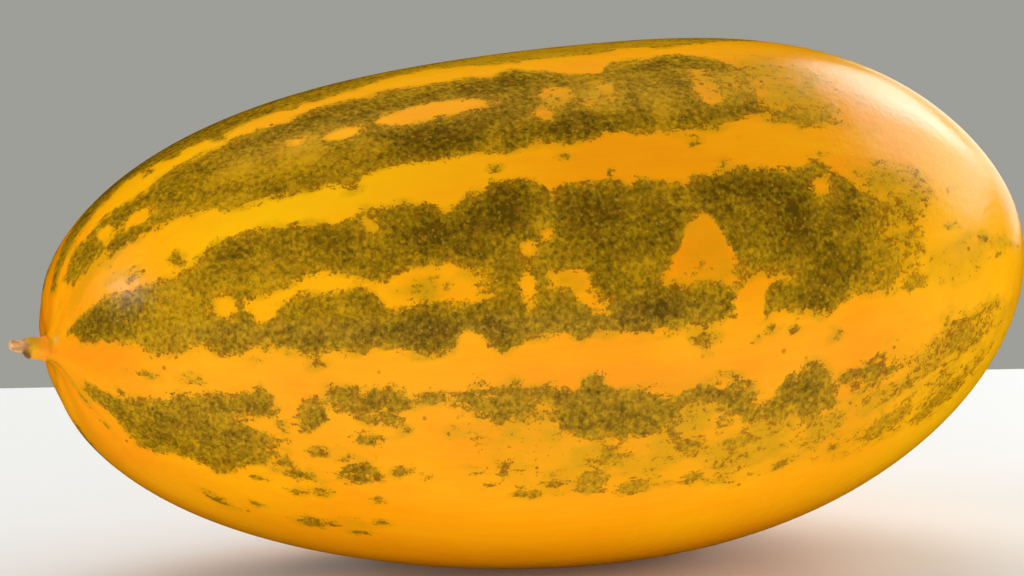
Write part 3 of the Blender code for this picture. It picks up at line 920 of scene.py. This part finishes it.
def skin_material():
    """Waxy yellow skin with mottled olive stains that break up at their edges."""
    n = Nodes("skin_waxy")
    grain = n.attribute("grain", "Vector")
    streaked = n.stretched(grain, STREAK_STRETCH)
    inside = n.attribute("inside")

    # Ragged edges at three sizes, calmer towards the stem
    broad = n.noise(streaked, *BROAD_NOISE)
    edge = n.noise(streaked, *EDGE_NOISE)
    fine = n.noise(grain, *FINE_NOISE)
    halo = n.swayed(inside, broad, HALO_MM)
    push = n.swayed(0.0, broad, BROAD_PUSH_MM)
    push = n.swayed(push, edge, EDGE_PUSH_MM)
    push = n.swayed(push, fine, FINE_PUSH_MM)
    calm = n.span(n.ramp(n.attribute("stem_mm"), 6.0, 26.0), 0.35, 1.0)
    pushed = n.math("MULTIPLY_ADD", push, calm, inside)
    stained = n.ramp(pushed, -0.30, 0.45)

    # Olive mottling inside the stains: flecks, larger patches and clouds
    flecks = n.cells(grain, FLECK_CELLS)[1]
    mottle = n.noise(grain, *MOTTLE_NOISE)
    clouds = n.noise(streaked, *CLOUD_NOISE)
    tone = n.swayed(n.attribute("tone"), flecks, FLECK_TONE)
    tone = n.swayed(tone, mottle, MOTTLE_TONE)
    tone = n.swayed(tone, clouds, CLOUD_TONE)
    tone = n.math("MULTIPLY_ADD", n.math("MINIMUM", pushed, 3.0), TONE_PER_MM, tone)
    olive = n.colors(tone, OLIVE_STOPS)

    # Browner patches in the stains
    brown = n.ramp(n.noise(streaked, *BROWN_NOISE), 0.42, 0.62)
    olive = n.mix(n.math("MULTIPLY", brown, 0.2), olive, srgb(*BROWN_PATCH))

    # Small pale dots in the stains
    distance, number = n.cells(grain, DOT_CELLS)
    dot = n.math("MULTIPLY", n.ramp(distance, 0.28, 0.14), n.ramp(number, 0.32, 0.42))
    olive = n.mix(n.math("MULTIPLY", dot, 0.38), olive, srgb(*PALE_DOT))

    # Brown fringe where a stain is thin
    thin = n.math("MAXIMUM", n.ramp(pushed, 1.0, 0.1), n.ramp(inside, 0.9, 0.3))
    fringe = n.math("MULTIPLY", thin, n.ramp(flecks, 0.40, 0.60))
    olive = n.mix(n.math("MULTIPLY", fringe, 0.70), olive, srgb(*BROWN_FRINGE))

    # Clean skin, with a painted highlight on the shoulder and painted light on the underside
    ripe_and_painted_light = n.swayed(n.attribute("ripe_and_painted_light"), n.noise(streaked, *WASH_NOISE), WASH_RIPENESS)
    lines = n.noise(n.stretched(grain, LINE_STRETCH), *LINE_NOISE)
    ripe_and_painted_light = n.swayed(ripe_and_painted_light, lines, LINE_RIPENESS)
    clean = n.colors(ripe_and_painted_light, CLEAN_STOPS)

    # A mustard wash round the stains and between the specks
    margin = n.math("MULTIPLY", n.ramp(halo, -1.4, 0.6), 0.6)
    between = n.math("MULTIPLY", n.attribute("wash"), n.span(n.ramp(broad, 0.35, 0.60), 0.50, 1.00))
    clean = n.mix(n.math("MAXIMUM", margin, between), clean, srgb(*MUSTARD))

    # Brown specks near the stains
    distance, number = n.cells(grain, SPECK_CELLS)
    near = n.ramp(inside, -4.0, -1.0)
    speck = n.math("MULTIPLY", n.ramp(distance, 0.10, 0.05), n.ramp(number, 0.45, 0.55))
    speck = n.math("MULTIPLY", speck, n.span(near, 0.1, 0.9))
    clean = n.mix(speck, clean, srgb(*BROWN_SPECK))

    color = n.mix(stained, clean, olive)

    # The corky scar at the blossom end
    scar_edge = n.swayed(n.attribute("blossom_mm"), edge, SCAR_RAGGED_MM)
    cork = n.ramp(scar_edge, *SCAR_EDGE_MM)
    corky = n.colors(mottle, CORK_STOPS)
    color = n.mix(cork, color, corky)
    n.put(n.shader.inputs["Base Color"], color)

    # Gloss, a little lower on the stains and much lower on the cork
    rough = n.span(n.noise(grain, *GLOSS_NOISE), *SKIN_ROUGHNESS)
    rough = n.math("MULTIPLY_ADD", stained, STAIN_ROUGHNESS, rough)
    rough = n.math("MULTIPLY_ADD", cork, CORK_ROUGHNESS, rough)
    n.put(n.shader.inputs["Roughness"], rough)
    n.shader.inputs["Specular IOR Level"].default_value = SKIN_GLOSS_LEVEL
    n.shader.inputs["Specular Tint"].default_value = SKIN_GLOSS_TINT
    fine_relief, broad_relief = (n.noise(grain, *noise) for noise in RELIEF_NOISES)
    relief = n.math("MULTIPLY_ADD", fine_relief, 0.4, broad_relief)
    n.bump(relief, 0.0002, 0.35)
    return n.material


def stem_material():
    """A yellow neck with an olive top, a dark break, and a tan dry tip."""
    n = Nodes("stem_dry")
    coordinates = n.tree.nodes.new("ShaderNodeTexCoord").outputs["Object"]
    grain = n.stretched(coordinates, (300.0, 1200.0, 1200.0))
    fibres = n.noise(grain, 1.0, 4.0, 0.65)
    blotches = n.noise(coordinates, 500.0, 3.0, 0.6)
    mm = n.swayed(n.attribute("stub_mm"), blotches, 1.0)
    body = n.colors(n.ramp(mm, 0.0, STUB_STOPS_MM, smooth=False), STUB_STOPS)

    # Olive on top of the neck
    upward = n.attribute("upward")
    green = n.math("MULTIPLY", n.ramp(upward, 0.1, 0.95), n.ramp(mm, 0.6, 2.4))
    green = n.math("MULTIPLY", green, n.ramp(mm, 4.2, 3.6))
    body = n.mix(n.math("MULTIPLY", green, 0.55), body, srgb(*STUB_OLIVE))

    # Darker on its underside round the break
    under = n.math("MULTIPLY", n.ramp(upward, 0.2, -0.7), n.ramp(mm, 2.8, 3.5))
    under = n.math("MULTIPLY", under, n.ramp(mm, 5.0, 4.2))
    body = n.mix(n.math("MULTIPLY", under, 0.85), body, srgb(*STUB_UNDERSIDE_DARK))

    # Dry fibres, most of them on the tip
    dry = n.math("MULTIPLY", n.ramp(fibres, 0.58, 0.38), n.span(n.ramp(mm, 3.0, 4.2), 0.12, 0.55))
    body = n.mix(dry, body, srgb(*STUB_DRY))
    n.put(n.shader.inputs["Base Color"], body)
    n.put(n.shader.inputs["Roughness"], n.span(fibres, 0.55, 0.85))
    n.bump(fibres, 0.0003, 0.6)
    return n.material


def away(azimuth_deg, elevation_deg):
    """The direction from the object towards a camera or light there."""
    azimuth, elevation = math.radians(azimuth_deg), math.radians(elevation_deg)
    return Vector(
        (
            math.sin(azimuth) * math.cos(elevation),
            -math.cos(azimuth) * math.cos(elevation),
            math.sin(elevation),
        )
    )


def add_camera():
    """The camera at the photograph's viewing angle."""
    data = bpy.data.cameras.new("camera")
    data.sensor_width = SENSOR_MM
    data.lens = LENS_MM
    data.shift_x = SHIFT_X
    data.shift_y = SHIFT_Y
    data.clip_start = 0.01
    data.clip_end = 20.0
    camera = bpy.data.objects.new("camera", data)
    back = away(CAMERA_AZIMUTH_DEG, CAMERA_ELEVATION_DEG)
    camera.location = Vector(AIM) + back * CAMERA_DISTANCE
    camera.rotation_euler = (-back).to_track_quat("-Z", "Y").to_euler()
    bpy.context.scene.collection.objects.link(camera)
    bpy.context.scene.camera = camera


def add_light(name, azimuth, elevation, distance, width, height, watts, color):
    """A soft rectangular light that faces the object."""
    data = bpy.data.lights.new(name, "AREA")
    data.shape = "RECTANGLE"
    data.size = width
    data.size_y = height
    data.energy = watts
    data.color = color
    light = bpy.data.objects.new(name, data)
    back = away(azimuth, elevation)
    light.location = Vector(AIM) + back * distance
    light.rotation_euler = (-back).to_track_quat("-Z", "Y").to_euler()
    bpy.context.scene.collection.objects.link(light)
    return light


def add_floor_glow():
    """A faint light that lies just over the floor and shines up at the belly."""
    place, width, depth, watts = FLOOR_GLOW
    data = bpy.data.lights.new("floor_glow", "AREA")
    data.shape = "RECTANGLE"
    data.size = width
    data.size_y = depth
    data.energy = watts
    light = bpy.data.objects.new("floor_glow", data)
    light.location = place
    light.rotation_euler = (math.pi, 0.0, 0.0)
    light.visible_camera = False
    bpy.context.scene.collection.objects.link(light)
    return light


def add_stage():
    """A plain pale floor, a plain grey surrounding and the lights."""
    slant = FLOOR_REACH * math.tan(math.radians(FLOOR_FAR_TURN_DEG))
    corners = [
        (-FLOOR_REACH, -FLOOR_REACH, 0.0),
        (FLOOR_REACH, -FLOOR_REACH, 0.0),
        (FLOOR_REACH, FLOOR_FAR_Y + slant, 0.0),
        (-FLOOR_REACH, FLOOR_FAR_Y - slant, 0.0),
    ]
    mesh = bpy.data.meshes.new("floor")
    mesh.from_pydata(corners, [], [(0, 1, 2, 3)])
    n = Nodes("floor_pale")
    n.shader.inputs["Base Color"].default_value = (*FLOOR_COLOR, 1.0)
    n.shader.inputs["Roughness"].default_value = FLOOR_ROUGHNESS
    mesh.materials.append(n.material)
    floor = bpy.data.objects.new("floor", mesh)
    bpy.context.scene.collection.objects.link(floor)
    world = bpy.data.worlds.new("grey")
    world.use_nodes = True
    background = world.node_tree.nodes["Background"]
    background.inputs["Color"].default_value = (*WORLD_COLOR, 1.0)
    background.inputs["Strength"].default_value = 1.0
    bpy.context.scene.world = world
    add_light("window_light", *WINDOW_LIGHT)
    add_light("pane_light", *PANE_LIGHT)
    add_light("left_glint", *LEFT_GLINT)
    rim = add_light("rim_light", *RIM_LIGHT)
    rim.visible_camera = False
    unseen = [
        add_light("side_light", *SIDE_LIGHT),
        add_light("back_light", *BACK_LIGHT),
        add_light("left_light", *LEFT_LIGHT),
        add_light("front_light", *FRONT_LIGHT),
        add_floor_glow(),
        floor,
    ]
    for thing in unseen:
        thing.visible_glossy = False
    world.cycles_visibility.glossy = False
    bpy.context.scene.view_settings.view_transform = "Standard"


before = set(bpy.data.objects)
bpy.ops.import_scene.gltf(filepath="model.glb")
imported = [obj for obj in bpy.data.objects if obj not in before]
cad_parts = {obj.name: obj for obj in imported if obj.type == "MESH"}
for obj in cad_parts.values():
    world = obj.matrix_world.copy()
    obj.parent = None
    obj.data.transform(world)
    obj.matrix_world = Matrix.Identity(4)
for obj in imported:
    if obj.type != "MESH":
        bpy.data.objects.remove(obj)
cad_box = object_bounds()
low, high = (np.array(corner) for corner in cad_box)
shift = rest_shift()
add_fruit(shift, low, high)
add_stub(shift)
add_camera()
add_stage()
